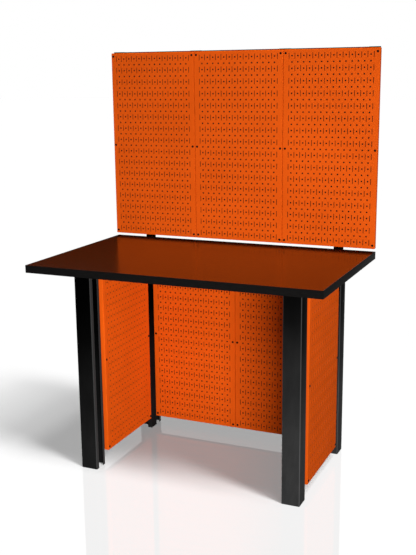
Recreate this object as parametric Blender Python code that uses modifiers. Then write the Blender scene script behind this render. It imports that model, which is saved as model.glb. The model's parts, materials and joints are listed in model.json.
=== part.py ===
"""Pegboard workstation: a bench on four channel legs, closed at the back and sides by
flanged sheet panels, with a board of the same panels standing behind the worktop.
Metres, +X right, +Y rear, +Z up, origin on the floor under the middle of the whole."""
import math

import bmesh
import bpy
from mathutils import Matrix, Vector

MM = 0.001

# Clearances
SEAT = 0.3 * MM
PLAY = 0.4 * MM

# Flanged panels, one size for the board, the back and the sides
PANEL_WIDTH = 405.0 * MM
PANEL_HEIGHT = 812.8 * MM
PANEL_DEPTH = 19.05 * MM
PANEL_SHEET = 0.9 * MM
PANEL_BEND = 2.2 * MM
PANEL_SEAM = 1.4 * MM
BOARD_PANELS = 3
BACK_PANELS = 2

# Backing sheet behind each panel's face
LINER_THICK = 1.0 * MM
LINER_SIDE = 16.0 * MM
LINER_END = 6.0 * MM

# Worktop
TOP_WIDTH = 1219.2 * MM
TOP_DEPTH = 762.0 * MM
TOP_THICK = 30.4 * MM
LAMINATE_THICK = 1.0 * MM
BAND_THICK = 2.0 * MM
BAND_CORNER = 3.0 * MM

# Heights of the lower panels and gaps to the worktop
SKIRT_RISE = 47.0 * MM
SKIRT_GAP = 7.8 * MM
BOARD_GAP = 13.0 * MM

# Legs: lipped channels
LEG_WIDTH = 74.0 * MM
LEG_DEPTH = 70.0 * MM
LEG_LIP = 18.0 * MM
LEG_SHEET = 2.0 * MM
LEG_BEND = 4.0 * MM
SIDE_MARGIN = 30.8 * MM
BACK_MARGIN = 4.3 * MM
BACK_SETBACK = 10.0 * MM

# Angle cleats and the strip behind the seam of the back panels
CLEAT_REACH = 50.0 * MM
CLEAT_FOOT = 36.0 * MM
CLEAT_SHEET = 2.0 * MM
CLEAT_INSET = 4.0 * MM
CLEAT_BOLT_END = 18.0 * MM
CLEAT_BOLT_SHARE = 0.55
STRIP_WIDTH = 50.0 * MM

# Posts, stiles and rails
POST_WIDTH = 38.0 * MM
STILE_WIDTH = 50.0 * MM
EDGE_STILE_WIDTH = 48.0 * MM
EDGE_STILE_FOOT = 30.0 * MM
EDGE_STILE_SHEET = 2.0 * MM
EDGE_STILE_INSET = 3.0 * MM
STILE_DEPTH = 25.0 * MM
STILE_INSET = 4.0 * MM
TUBE_WALL = 2.0 * MM
TUBE_BEND = 3.0 * MM
CAP_THICK = 3.0 * MM
STILE_RISE = 1.7 * MM
RAIL_HEIGHT = 40.0 * MM
RAIL_DEPTH = 20.0 * MM
RAIL_SHEET = 2.0 * MM
RAIL_INSET = 70.0 * MM
POST_DROP = 4.0 * MM
BACK_RAIL_DEPTH = 15.0 * MM
STRIP_BOLT_SIDE = 15.0 * MM
CLEAT_RAIL_BOLT = 30.0 * MM

# Brackets and stiffeners under the worktop
BRACKET_LENGTH = 40.0 * MM
BRACKET_REACH = 66.0 * MM
BRACKET_DROP = 45.0 * MM
BRACKET_SHEET = 3.0 * MM
BRACKET_BOLT_SHARE = 0.6
BRACKET_SCREW_SHARES = (0.4, 0.8)
STIFFENER_SIDE = 30.0 * MM
STIFFENER_SHEET = 2.0 * MM
STIFFENER_END = 16.0 * MM
STIFFENER_REAR_GAP = 60.0 * MM
STIFFENER_SCREW_SHARE = 0.6

# Bolts, and the holes for screws and bolts
BOLT_HEAD = 6.0 * MM
BOLT_RISE = 4.0 * MM
BOLT_SHANK = 3.0 * MM
BOLT_LENGTH = 12.0 * MM
SMALL_BOLT_SHANK = 2.4 * MM
SCREW_SHANK = 2.2 * MM
SCREW_TAIL = 7.0 * MM
SCREW_EDGE = 10.0 * MM
SCREW_END = 14.5 * MM
WOOD_SHANK = 2.0 * MM
WOOD_LENGTH = 17.0 * MM
POST_BOLT_SHARES = {"lower": 0.2, "upper": 0.8}

# Derived heights
TOP_UNDER = SKIRT_RISE + PANEL_HEIGHT + SKIRT_GAP
TOP_HEIGHT = TOP_UNDER + TOP_THICK
LEG_LENGTH = TOP_UNDER - SEAT
BOARD_Z = TOP_HEIGHT + BOARD_GAP
BOARD_TOP = BOARD_Z + PANEL_HEIGHT
TUBE_TOP = BOARD_TOP + STILE_RISE
STILE_TOP = TUBE_TOP + SEAT + CAP_THICK
CLEAT_LENGTH = PANEL_HEIGHT - 2 * CLEAT_INSET
CLEAT_Z = SKIRT_RISE + CLEAT_INSET
CLEAT_BOLT_HEIGHTS = (CLEAT_Z + CLEAT_BOLT_END, CLEAT_Z + CLEAT_LENGTH - CLEAT_BOLT_END)

# Derived widths
PITCH = PANEL_WIDTH + PANEL_SEAM
BOARD_WIDTH = BOARD_PANELS * PITCH - PANEL_SEAM
EDGE_STILE_OUTER = BOARD_WIDTH / 2 - EDGE_STILE_INSET
EDGE_STILE_INNER = EDGE_STILE_OUTER - EDGE_STILE_WIDTH
BACK_WIDTH = BACK_PANELS * PITCH - PANEL_SEAM
LEG_INNER = BACK_WIDTH / 2 + BACK_MARGIN
LEG_OUTER = LEG_INNER + LEG_WIDTH
LEG_MID = (LEG_INNER + LEG_OUTER) / 2
SIDE_FACES = {-1: -LEG_INNER, 1: LEG_OUTER}
HANDS = {-1: "left", 1: "right"}

# Derived depths
TOTAL_DEPTH = TOP_DEPTH + SEAT + STILE_DEPTH + SEAT + RAIL_DEPTH
FRONT_Y = -TOTAL_DEPTH / 2
TOP_REAR = FRONT_Y + TOP_DEPTH
BOARD_Y = TOP_REAR - PANEL_DEPTH
STILE_Y = TOP_REAR + SEAT
RAIL_Y = STILE_Y + STILE_DEPTH + SEAT
REAR_LEG_Y = TOP_REAR - LEG_DEPTH
FRONT_LEG_Y = REAR_LEG_Y - 2 * SIDE_MARGIN - PANEL_WIDTH - LEG_DEPTH
BAY_FRONT = FRONT_LEG_Y + LEG_DEPTH
SIDE_MID = (BAY_FRONT + REAR_LEG_Y) / 2
BACK_Y = REAR_LEG_Y + BACK_SETBACK
BACK_SUPPORT_Y = BACK_Y + PANEL_DEPTH + SEAT
BACK_RAIL_Y = BACK_SUPPORT_Y + CLEAT_SHEET + SEAT

FRONT = Vector((0, -1, 0))
REAR = Vector((0, 1, 0))
RIGHT = Vector((1, 0, 0))
DOWN = Vector((0, 0, -1))

ALONG_X = Matrix.Rotation(math.radians(90), 4, 'Y')
ALONG_Y = Matrix.Rotation(math.radians(-90), 4, 'X')
FACE_RIGHT = Matrix.Rotation(math.radians(90), 4, 'Z')


def clear_scene():
    for old in list(bpy.data.objects):
        bpy.data.objects.remove(old, do_unlink=True)


def collection(name):
    made = bpy.data.collections.new(name)
    bpy.context.scene.collection.children.link(made)
    return made


def material(name, color, roughness, metallic):
    made = bpy.data.materials.new(name)
    made.use_nodes = True
    shader = made.node_tree.nodes["Principled BSDF"]
    shader.inputs["Base Color"].default_value = (*color, 1)
    shader.inputs["Roughness"].default_value = roughness
    shader.inputs["Metallic"].default_value = metallic
    return made


clear_scene()
PARTS = collection("pegboard_workstation")
CUTTERS = collection("cutters")
ROOT = bpy.data.objects.new("workstation_root", None)
PARTS.objects.link(ROOT)

ORANGE = material("orange_powder_coat", (0.74, 0.11, 0.012), 0.38, 0.0)
BLACK = material("black_powder_coat", (0.012, 0.012, 0.012), 0.42, 0.0)
LAMINATE = material("brown_laminate", (0.075, 0.0128, 0.0019), 0.16, 0.0)
EDGE = material("black_edge_band", (0.014, 0.014, 0.015), 0.4, 0.0)
BOARD = material("particle_board", (0.5, 0.36, 0.2), 0.8, 0.0)
LINER = material("dark_backing", (0.02, 0.015, 0.012), 0.7, 0.0)
ZINC = material("zinc_bolts", (0.6, 0.6, 0.58), 0.35, 1.0)
PLUG = material("black_plugs", (0.015, 0.015, 0.015), 0.5, 0.0)


def add_object(name, mesh, look, place=None):
    made = bpy.data.objects.new(name, mesh)
    made.data.materials.append(look)
    PARTS.objects.link(made)
    made.parent = ROOT
    made.matrix_world = place or Matrix.Identity(4)
    return made


def mesh_from(bm, name):
    mesh = bpy.data.meshes.new(name)
    bm.to_mesh(mesh)
    bm.free()
    return mesh


def at(x, y, z):
    return Matrix.Translation((x, y, z))


def facing(point, normal):
    """Placement whose local Z runs along the normal, starting at the point."""
    turn = normal.to_track_quat('Z', 'Y').to_matrix().to_4x4()
    return Matrix.Translation(point) @ turn


def rounded_path(points, radius, closed, steps=3):
    """Polyline in which every inner corner becomes an arc."""
    path = []
    count = len(points)
    for i, corner in enumerate(points):
        here = Vector(corner)
        if not closed and i in (0, count - 1):
            path.append(here)
            continue
        back = (Vector(points[i - 1]) - here).normalized()
        ahead = (Vector(points[(i + 1) % count]) - here).normalized()
        half = back.angle(ahead) / 2
        middle = (back + ahead).normalized()
        centre = here + middle * radius / math.sin(half)
        first = here + back * radius / math.tan(half) - centre
        last = here + ahead * radius / math.tan(half) - centre
        sweep = first.angle_signed(last)
        for k in range(steps + 1):
            turn = Matrix.Rotation(-sweep * k / steps, 2)
            path.append(centre + turn @ first)
    return path


def folded_sheet(name, points, bend, sheet, length, look, place, closed=False):
    """Bent sheet: the outer outline, walked with the outside on the right, drawn out along local Z."""
    bm = bmesh.new()
    path = rounded_path(points, bend, closed)
    low = [bm.verts.new((p.x, p.y, 0)) for p in path]
    high = [bm.verts.new((p.x, p.y, length)) for p in path]
    last = len(path) if closed else len(path) - 1
    for i in range(last):
        j = (i + 1) % len(path)
        bm.faces.new((low[i], low[j], high[j], high[i]))
    made = add_object(name, mesh_from(bm, name), look, place)
    thick = made.modifiers.new("sheet", 'SOLIDIFY')
    thick.thickness = sheet
    thick.offset = -1
    thick.use_even_offset = True
    return made


def tube(name, width, depth, bend, wall, length, look, place):
    """Closed rectangular tube, centred in plan on its local origin."""
    x, y = width / 2, depth / 2
    corners = [(-x, -y), (x, -y), (x, y), (-x, y)]
    return folded_sheet(name, corners, bend, wall, length, look, place, closed=True)


def block_into(bm, size, place):
    made = bmesh.ops.create_cube(bm, size=1)
    scale = Matrix.Diagonal((*size, 1))
    bmesh.ops.transform(bm, matrix=place @ scale, verts=made["verts"])


def block(name, size, look, place, chamfer):
    bm = bmesh.new()
    block_into(bm, size, Matrix.Identity(4))
    made = add_object(name, mesh_from(bm, name), look, place)
    edge = made.modifiers.new("edges", 'BEVEL')
    edge.width = chamfer
    edge.segments = 1
    return made


def panel(name, place):
    """Flanged tray: face in the local XZ plane looking along -Y, flanges running to +Y."""
    bm = bmesh.new()
    size = (PANEL_WIDTH, PANEL_DEPTH, PANEL_HEIGHT)
    block_into(bm, size, at(0, PANEL_DEPTH / 2, PANEL_HEIGHT / 2))
    open_side = [f for f in bm.faces if f.normal.y > 0.9]
    bmesh.ops.delete(bm, geom=open_side, context='FACES')
    made = add_object(name, mesh_from(bm, name), ORANGE, place)
    bend = made.modifiers.new("bends", 'BEVEL')
    bend.width = PANEL_BEND
    bend.segments = 2
    bend.limit_method = 'ANGLE'
    thick = made.modifiers.new("sheet", 'SOLIDIFY')
    thick.thickness = PANEL_SHEET
    thick.offset = -1
    thick.use_even_offset = True
    return made


def liner(name, place):
    size = (PANEL_WIDTH - 2 * LINER_SIDE, LINER_THICK, PANEL_HEIGHT - 2 * LINER_END)
    middle = at(0, PANEL_SHEET + SEAT + LINER_THICK / 2, PANEL_HEIGHT / 2)
    bm = bmesh.new()
    block_into(bm, size, Matrix.Identity(4))
    return add_object(name, mesh_from(bm, name), LINER, place @ middle)


def bolt_profile():
    """Half profile of a bolt, walked down its outer side, bearing face at height zero."""
    points = [(0, BOLT_RISE), (BOLT_HEAD, BOLT_RISE), (BOLT_HEAD, 0), (BOLT_SHANK, 0),
              (BOLT_SHANK, -BOLT_LENGTH), (0, -BOLT_LENGTH)]
    bm = bmesh.new()
    verts = [bm.verts.new((r, 0, z)) for r, z in points]
    for pair in zip(verts, verts[1:]):
        bm.edges.new(pair)
    return mesh_from(bm, "bolt_profile")


def bolt(name, profile, place):
    made = add_object(name, profile, ZINC, place)
    turn = made.modifiers.new("turn", 'SCREW')
    turn.steps = 6
    turn.render_steps = 6
    turn.use_merge_vertices = True
    turn.merge_threshold = 0.01 * MM
    return made


holes = {}


def drill(target, places, radius, depth):
    """Notes holes that start just outside each place and run along its local -Z."""
    holes.setdefault(target, []).extend((place, radius, depth) for place in places)


def cut_holes():
    lead = 2 * SEAT
    for target, bores in holes.items():
        bm = bmesh.new()
        for place, radius, depth in bores:
            made = bmesh.ops.create_cone(bm, cap_ends=True, segments=8, radius1=radius, radius2=radius,
                                         depth=depth + lead)
            middle = at(0, 0, (lead - depth) / 2)
            bmesh.ops.transform(bm, matrix=place @ middle, verts=made["verts"])
        cutter = bpy.data.objects.new(target.name + "_holes", mesh_from(bm, "holes"))
        CUTTERS.objects.link(cutter)
        cutter.hide_render = True
        cutter.display_type = 'WIRE'
        cut = target.modifiers.new("holes", 'BOOLEAN')
        cut.operation = 'DIFFERENCE'
        cut.solver = 'EXACT'
        cut.object = cutter


def mirrored(points):
    """The outline turned to the other hand, still walked with its outside on the right."""
    return [(-x, y) for x, y in reversed(points)]


def leg_points(side):
    """Lipped channel with its web on the outer side."""
    left = [(LEG_WIDTH, LEG_DEPTH - LEG_LIP), (LEG_WIDTH, LEG_DEPTH), (0, LEG_DEPTH), (0, 0),
            (LEG_WIDTH, 0), (LEG_WIDTH, LEG_LIP)]
    if side < 0:
        return left
    return [(LEG_WIDTH + x, y) for x, y in mirrored(left)]


def build_worktop():
    inner_width = TOP_WIDTH - 2 * (BAND_THICK + SEAT)
    inner_depth = TOP_DEPTH - 2 * (BAND_THICK + SEAT)
    core_thick = TOP_THICK - LAMINATE_THICK - SEAT
    middle_y = FRONT_Y + TOP_DEPTH / 2
    block("worktop_core", (inner_width, inner_depth, core_thick), BOARD,
          at(0, middle_y, TOP_UNDER + core_thick / 2), SEAT)
    block("worktop_laminate", (inner_width, inner_depth, LAMINATE_THICK), LAMINATE,
          at(0, middle_y, TOP_HEIGHT - LAMINATE_THICK / 2), LAMINATE_THICK / 4)
    tube("worktop_edge_band", TOP_WIDTH, TOP_DEPTH, BAND_CORNER, BAND_THICK, TOP_THICK, EDGE,
         at(0, middle_y, TOP_UNDER))


def build_leg(row, side, leg_y, profile):
    """Leg with the bracket and bolt that tie it to the worktop."""
    hand = HANDS[side]
    corner_x = -LEG_OUTER if side < 0 else LEG_INNER
    leg = folded_sheet(f"leg_{row}_{hand}", leg_points(side), LEG_BEND, LEG_SHEET, LEG_LENGTH, BLACK,
                       at(corner_x, leg_y, 0))
    arms = [(0, BRACKET_DROP), (0, 0), (BRACKET_REACH, 0)]
    if side > 0:
        arms = mirrored(arms)
    web_x = side * (LEG_OUTER - LEG_SHEET - SEAT)
    middle_y = leg_y + LEG_DEPTH / 2
    bracket = folded_sheet(f"leg_bracket_{row}_{hand}", arms, LEG_BEND, BRACKET_SHEET, BRACKET_LENGTH, BLACK,
                           at(web_x, middle_y - BRACKET_LENGTH / 2, TOP_UNDER - SEAT) @ ALONG_Y)
    bolt_z = TOP_UNDER - BRACKET_BOLT_SHARE * BRACKET_DROP
    spot = facing((side * (LEG_OUTER + SEAT), middle_y, bolt_z), side * RIGHT)
    bolt(f"bracket_bolt_{row}_{hand}", profile, spot)
    screw_z = TOP_UNDER - 2 * SEAT - BRACKET_SHEET
    screws = [facing((web_x - side * share * BRACKET_REACH, middle_y, screw_z), DOWN)
              for share in BRACKET_SCREW_SHARES]
    for sheet in (leg, bracket):
        drill(sheet, [spot], BOLT_SHANK + PLAY, BOLT_LENGTH)
    drill(bracket, screws, WOOD_SHANK + PLAY, WOOD_LENGTH)
    return leg


def build_stiffener(row, row_y):
    length = 2 * (LEG_INNER - STIFFENER_END)
    arms = [(0, STIFFENER_SIDE), (0, 0), (STIFFENER_SIDE, 0)]
    made = folded_sheet(f"top_stiffener_{row}", arms, LEG_BEND, STIFFENER_SHEET, length, BLACK,
                        at(-length / 2, row_y, TOP_UNDER - SEAT) @ ALONG_X)
    screw_y = row_y + STIFFENER_SCREW_SHARE * STIFFENER_SIDE
    screw_z = TOP_UNDER - 2 * SEAT - STIFFENER_SHEET
    screws = [facing((share * length, screw_y, screw_z), DOWN) for share in (-0.4, 0, 0.4)]
    drill(made, screws, WOOD_SHANK + PLAY, WOOD_LENGTH)


def panel_places():
    """Placement of every panel, by name."""
    found = {}
    for i in range(BOARD_PANELS):
        found[f"board_panel_{i + 1}"] = at((i - (BOARD_PANELS - 1) / 2) * PITCH, BOARD_Y, BOARD_Z)
    for i in range(BACK_PANELS):
        found[f"back_panel_{i + 1}"] = at((i - (BACK_PANELS - 1) / 2) * PITCH, BACK_Y, SKIRT_RISE)
    for side, face_x in SIDE_FACES.items():
        found[f"side_panel_{HANDS[side]}"] = at(face_x, SIDE_MID, SKIRT_RISE) @ FACE_RIGHT
    return found


PLACES = panel_places()


def panel_screws(name, side):
    """Placements of the three screws along one side edge of a panel."""
    x = side * (PANEL_WIDTH / 2 - SCREW_EDGE)
    heights = (SCREW_END, PANEL_HEIGHT / 2, PANEL_HEIGHT - SCREW_END)
    return [PLACES[name] @ facing((x, -SEAT, z), FRONT) for z in heights]


def drill_for_panel(target, name, side):
    drill(target, panel_screws(name, side), SCREW_SHANK + PLAY, PANEL_DEPTH + SCREW_TAIL)


def build_panels():
    for name, place in PLACES.items():
        made = panel(name, place)
        liner(name.replace("panel", "liner"), place)
        for side in HANDS:
            drill_for_panel(made, name, side)


def cap(name, width, x, z):
    block(name, (width, STILE_DEPTH, CAP_THICK), PLUG,
          at(x, STILE_Y + STILE_DEPTH / 2, z + SEAT + CAP_THICK / 2), CAP_THICK / 4)


def build_post(side, leg, profile):
    """Post that stands behind a rear leg and is bolted to it."""
    hand = HANDS[side]
    x = side * LEG_MID
    length = BOARD_TOP - POST_DROP
    made = tube(f"post_{hand}", POST_WIDTH, STILE_DEPTH, TUBE_BEND, TUBE_WALL, length, BLACK,
                at(x, STILE_Y + STILE_DEPTH / 2, 0))
    cap(f"post_cap_{hand}", POST_WIDTH, x, length)
    for level, share in POST_BOLT_SHARES.items():
        spot = facing((x, TOP_REAR - LEG_SHEET - SEAT, share * LEG_LENGTH), FRONT)
        bolt(f"post_bolt_{hand}_{level}", profile, spot)
        for sheet in (leg, made):
            drill(sheet, [spot], BOLT_SHANK + PLAY, BOLT_LENGTH)
    return made, x


def build_seam_stile(i):
    """Tube behind the seam between two panels of the board, closed by a plug."""
    x = (i - BOARD_PANELS / 2) * PITCH
    z = BOARD_Z + STILE_INSET
    made = tube(f"board_stile_{i + 1}", STILE_WIDTH, STILE_DEPTH, TUBE_BEND, TUBE_WALL, TUBE_TOP - z, BLACK,
                at(x, STILE_Y + STILE_DEPTH / 2, z))
    cap(f"stile_cap_{i + 1}", STILE_WIDTH, x, TUBE_TOP)
    drill_for_panel(made, f"board_panel_{i}", 1)
    drill_for_panel(made, f"board_panel_{i + 1}", -1)
    return made, x


def build_edge_stile(side):
    """Folded sheet behind a side edge of the board: plate in front, web, and a foot for the rails."""
    number = BOARD_PANELS + 1 if side > 0 else 1
    foot_y = STILE_DEPTH - EDGE_STILE_SHEET
    fold = [(EDGE_STILE_INNER - EDGE_STILE_FOOT, foot_y), (EDGE_STILE_INNER, foot_y), (EDGE_STILE_INNER, 0),
            (EDGE_STILE_OUTER, 0)]
    if side < 0:
        fold = mirrored(fold)
    z = BOARD_Z + STILE_INSET
    length = STILE_TOP - z
    made = folded_sheet(f"board_stile_{number}", fold, TUBE_BEND, EDGE_STILE_SHEET, length, BLACK,
                        at(0, STILE_Y, z))
    drill_for_panel(made, f"board_panel_{min(number, BOARD_PANELS)}", side)
    return made, side * (EDGE_STILE_INNER - EDGE_STILE_FOOT / 2)


def build_rail(name, length, depth, front_y, low_z, crossings):
    """Channel with its web in front, bolted to what it crosses."""
    channel = [(-RAIL_HEIGHT, depth), (-RAIL_HEIGHT, 0), (0, 0), (0, depth)]
    made = folded_sheet(name, channel, TUBE_BEND, RAIL_SHEET, length, BLACK,
                        at(-length / 2, front_y, low_z) @ ALONG_X)
    for crossed, x in crossings:
        spot = facing((x, front_y + RAIL_SHEET + SEAT, low_z + RAIL_HEIGHT / 2), REAR)
        for sheet in (made, crossed):
            drill(sheet, [spot], BOLT_SHANK + PLAY, BOLT_LENGTH)


def build_side_cleat(row, side, leg, leg_face, run, edge):
    """Angle from a leg's inner flange to one upright edge of a side panel."""
    hand = HANDS[side]
    plate_x = SIDE_FACES[side] - PANEL_DEPTH - SEAT
    foot_y = leg_face + run * SEAT
    angle = [(-CLEAT_FOOT, 0), (0, 0), (0, CLEAT_REACH)]
    if run < 0:
        angle = [(x, -y) for x, y in reversed(angle)]
    made = folded_sheet(f"side_cleat_{row}_{hand}", angle, LEG_BEND, CLEAT_SHEET, CLEAT_LENGTH, BLACK,
                        at(plate_x, foot_y, CLEAT_Z))
    drill_for_panel(made, f"side_panel_{hand}", edge)
    bolt_x = plate_x - CLEAT_BOLT_SHARE * CLEAT_FOOT
    spots = [facing((bolt_x, foot_y + run * (CLEAT_SHEET + SEAT), z), run * REAR) for z in CLEAT_BOLT_HEIGHTS]
    for sheet in (made, leg):
        drill(sheet, spots, BOLT_SHANK + PLAY, BOLT_LENGTH)


def build_back_cleat(side, leg):
    """Angle from a rear leg's lip to the outer edge of a back panel."""
    foot = TOP_REAR - BACK_SUPPORT_Y - LEG_SHEET
    angle = [(0, foot), (0, 0), (CLEAT_REACH, 0)]
    if side > 0:
        angle = mirrored(angle)
    foot_x = side * (LEG_INNER - SEAT)
    made = folded_sheet(f"back_cleat_{HANDS[side]}", angle, LEG_BEND, CLEAT_SHEET, CLEAT_LENGTH, BLACK,
                        at(foot_x, BACK_SUPPORT_Y, CLEAT_Z))
    drill_for_panel(made, "back_panel_1" if side < 0 else f"back_panel_{BACK_PANELS}", side)
    lip_middle = TOP_REAR - LEG_BEND - (LEG_LIP - LEG_BEND) / 2
    bolt_x = foot_x - side * (CLEAT_SHEET + SEAT)
    spots = [facing((bolt_x, lip_middle, z), -side * RIGHT) for z in CLEAT_BOLT_HEIGHTS]
    for sheet in (made, leg):
        drill(sheet, spots, SMALL_BOLT_SHANK + PLAY, BOLT_LENGTH)
    return made, foot_x - side * CLEAT_RAIL_BOLT


def build_corner_angle():
    """Angle that stands on the floor and closes the corner between left side panel and back panel."""
    web_y = SIDE_MID + PANEL_WIDTH / 2 + SEAT
    flange_x = CLEAT_SHEET + SEAT - LEG_INNER
    angle = [(SEAT - LEG_INNER - PANEL_DEPTH, web_y), (flange_x, web_y), (flange_x, REAR_LEG_Y + LEG_LIP)]
    folded_sheet("corner_angle", angle, LEG_BEND, CLEAT_SHEET, LEG_LENGTH, BLACK, Matrix.Identity(4))


def build_seam_strip():
    """Flat bar behind the seam of the back panels."""
    made = block("back_seam_strip", (STRIP_WIDTH, CLEAT_SHEET, CLEAT_LENGTH), BLACK,
                 at(0, BACK_SUPPORT_Y + CLEAT_SHEET / 2, CLEAT_Z + CLEAT_LENGTH / 2), SEAT)
    drill_for_panel(made, "back_panel_1", 1)
    drill_for_panel(made, f"back_panel_{BACK_PANELS}", -1)
    return made


def build():
    profile = bolt_profile()
    build_worktop()
    build_panels()
    legs = {}
    for side in HANDS:
        legs["front", side] = build_leg("front", side, FRONT_LEG_Y, profile)
        legs["rear", side] = build_leg("rear", side, REAR_LEG_Y, profile)
    build_stiffener("front", FRONT_LEG_Y + (LEG_DEPTH - STIFFENER_SIDE) / 2)
    build_stiffener("rear", BACK_Y - STIFFENER_REAR_GAP - STIFFENER_SIDE)

    uprights = [build_post(side, legs["rear", side], profile) for side in HANDS]
    uprights += [build_seam_stile(i) for i in range(1, BOARD_PANELS)]
    uprights += [build_edge_stile(side) for side in HANDS]
    board_rail = 2 * EDGE_STILE_INNER
    build_rail("board_rail_lower", board_rail, RAIL_DEPTH, RAIL_Y, BOARD_Z + RAIL_INSET, uprights)
    build_rail("board_rail_upper", board_rail, RAIL_DEPTH, RAIL_Y, STILE_TOP - RAIL_HEIGHT, uprights)

    for side in HANDS:
        build_side_cleat("front", side, legs["front", side], BAY_FRONT, 1, -1)
        build_side_cleat("rear", side, legs["rear", side], REAR_LEG_Y, -1, 1)
    build_corner_angle()
    strip = build_seam_strip()
    crossings = [build_back_cleat(side, legs["rear", side]) for side in HANDS]
    crossings += [(strip, -STRIP_BOLT_SIDE), (strip, STRIP_BOLT_SIDE)]
    back_rail = 2 * (LEG_INNER - 2 * SEAT - LEG_BEND)
    low_z = SKIRT_RISE + RAIL_INSET
    high_z = SKIRT_RISE + PANEL_HEIGHT - RAIL_INSET - RAIL_HEIGHT
    build_rail("back_rail_lower", back_rail, BACK_RAIL_DEPTH, BACK_RAIL_Y, low_z, crossings)
    build_rail("back_rail_upper", back_rail, BACK_RAIL_DEPTH, BACK_RAIL_Y, high_z, crossings)
    cut_holes()


build()
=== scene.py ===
"""Looks of the pegboard workstation: perforated panels, channel legs, fasteners, finishes and light,
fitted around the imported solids. Metres, +X right, +Y rear, +Z up."""
import json
import math

import bmesh
import bpy
from mathutils import Matrix, Vector

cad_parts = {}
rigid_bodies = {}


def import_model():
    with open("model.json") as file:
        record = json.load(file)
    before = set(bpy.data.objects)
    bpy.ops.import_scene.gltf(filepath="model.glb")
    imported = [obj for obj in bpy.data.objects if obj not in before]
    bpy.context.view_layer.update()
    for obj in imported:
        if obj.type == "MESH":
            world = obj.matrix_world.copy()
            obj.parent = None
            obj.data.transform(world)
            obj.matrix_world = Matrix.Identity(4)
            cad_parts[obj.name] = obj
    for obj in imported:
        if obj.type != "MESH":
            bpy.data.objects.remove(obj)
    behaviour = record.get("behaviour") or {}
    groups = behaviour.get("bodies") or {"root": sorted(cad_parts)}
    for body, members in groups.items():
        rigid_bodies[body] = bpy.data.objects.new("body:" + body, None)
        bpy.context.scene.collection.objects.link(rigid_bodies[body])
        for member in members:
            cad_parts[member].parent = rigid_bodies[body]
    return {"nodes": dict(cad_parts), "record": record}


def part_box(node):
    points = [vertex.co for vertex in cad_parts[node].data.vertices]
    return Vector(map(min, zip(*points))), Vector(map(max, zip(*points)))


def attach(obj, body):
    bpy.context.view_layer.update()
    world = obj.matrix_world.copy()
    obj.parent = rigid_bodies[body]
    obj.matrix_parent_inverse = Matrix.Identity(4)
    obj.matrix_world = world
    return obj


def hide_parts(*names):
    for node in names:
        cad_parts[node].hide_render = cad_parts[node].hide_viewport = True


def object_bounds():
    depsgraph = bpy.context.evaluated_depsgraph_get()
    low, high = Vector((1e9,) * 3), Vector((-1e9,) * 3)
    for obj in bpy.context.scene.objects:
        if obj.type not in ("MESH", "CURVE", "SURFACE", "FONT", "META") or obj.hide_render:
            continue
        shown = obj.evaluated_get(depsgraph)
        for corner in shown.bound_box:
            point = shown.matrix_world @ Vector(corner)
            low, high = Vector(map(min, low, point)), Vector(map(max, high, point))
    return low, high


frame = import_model()
CAD_BOX = [list(corner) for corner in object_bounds()]
NODES = frame["nodes"]

MM = 0.001
SEAT = 0.3 * MM

# Panels and their peg pattern
PANEL_SHEET = 0.9 * MM
PANEL_BEND = 2.2 * MM
PEG_PITCH = 25.4 * MM
PEG_COLUMNS = 14
PEG_ROWS = 31
PEG_RADIUS = 3.6 * MM
SLOT_HALF_WIDTH = 1.4 * MM
SLOT_HALF_HEIGHT = 12.4 * MM
FACE_MARGIN = 0.5 * MM

# Fasteners
SCREW_EDGE = 10.0 * MM
SCREW_END = 14.5 * MM
SCREW_HOLE = 2.6 * MM
SCREW_HEAD = 4.8 * MM
SCREW_RISE = 2.6 * MM
SCREW_SHANK = 2.2 * MM
SCREW_LENGTH = 25.5 * MM
BOLT_HEAD = 5.8 * MM
BOLT_RISE = 4.0 * MM
BOLT_SHANK = 2.9 * MM
BOLT_LENGTH = 12.0 * MM
NUT_RISE = 4.5 * MM
SMALL_BOLT = 0.78
BOLT_TAIL = 7.5 * MM
BOLT_PITCH = 1.0 * MM
SCREW_PITCH = 1.2 * MM
SCREW_PLAIN = 0.7 * SCREW_LENGTH
SCREW_TURN = 0.7
WOOD_LENGTH = 16.0 * MM
WOOD_GIRTH = 0.9

# Sheet sizes of the legs and of what is bolted to them
LEG_LIP = 18.0 * MM
LEG_SHEET = 2.0 * MM
LEG_BEND = 4.0 * MM
CLEAT_SHEET = 2.0 * MM
CLEAT_BOLT_END = 18.0 * MM
CLEAT_BOLT_FOOT = 19.8 * MM
CLEAT_RAIL_BOLT = 30.0 * MM
STRIP_BOLT_SIDE = 15.0 * MM
RAIL_SHEET = 2.0 * MM
EDGE_STILE_FOOT = 30.0 * MM
BRACKET_SHEET = 3.0 * MM
BRACKET_SCREWS = (0.4, 0.8)
STIFFENER_SHEET = 2.0 * MM
STIFFENER_SCREWS = (-0.4, 0, 0.4)
STIFFENER_SCREW_DEPTH = 0.6

# Edge band of the worktop
BAND_THICK = 2.0 * MM
BAND_CORNER = 3.0 * MM
BAND_ARRIS = 0.9 * MM

# Camera, from the lines of the photograph
CAMERA_PLACE = (1.44993, -3.30236, 1.61291)
CAMERA_YAW = 0.41324
CAMERA_PITCH = -0.21821
CAMERA_ROLL = -0.01032
CAMERA_LENS = 58.42

# Black paint, with painted reflection and shade: painted reflection tones by height less a slope to the
# right, how much painted shade dims it to the left and on right faces, and a plain tone for faces that look
# to the rear or left
PAINTED_REFLECTION_SLOPE = 0.19
PAINTED_REFLECTION_TONES = [(0.0, 0.04), (0.2, 0.0355), (0.3, 0.0255), (0.38, 0.02),
               (0.46, 0.0195), (0.56, 0.012), (0.65, 0.005), (0.8, 0.0013)]
PAINT_HALF_WIDTH = 0.45
PAINTED_SHADE_LEFT_SHARE = 0.41
PAINTED_SHADE_RIGHT_FACES = [(0.4, 1.05), (0.55, 0.8), (0.7, 0.15)]
PAINT_FAR_TONES = [(0.3, 0.016), (0.7, 0.023)]

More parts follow.
